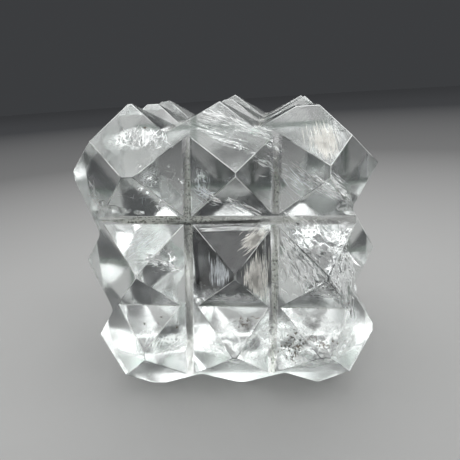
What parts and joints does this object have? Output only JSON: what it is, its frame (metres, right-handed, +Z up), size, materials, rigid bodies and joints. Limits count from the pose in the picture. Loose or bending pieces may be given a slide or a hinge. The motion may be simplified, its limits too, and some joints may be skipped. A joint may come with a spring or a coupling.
{
  "type": "cut rock quartz cube",
  "caption": "Clear rock quartz cube whose faces are cut into rows of four-sided pyramids by V-shaped grooves, with broad bevels along its edges, resting on flat-ended tips.",
  "frame": {"origin": "on the surface that the cube rests on, under the middle of its bounding box", "axes": "+Z up, the front face (the one with one sharp-bottomed level groove) looks along -Y, +X to its right"},
  "size_m": [0.0394, 0.0386, 0.0402],
  "materials": {
    "clear_quartz": "hand-polished clear rock quartz, IOR 1.544, see-through",
    "ground_quartz": "frosted, wheel-ground quartz in the floors of the grooves",
    "healed_fracture": "white wispy fracture planes and veils sealed in the stone",
    "iron_stain": "small brown iron-stained specks sealed in the stone"
  },
  "bodies": {
    "root": {"quartz_crystal": "clear_quartz"}
  },
  "joints": []
}
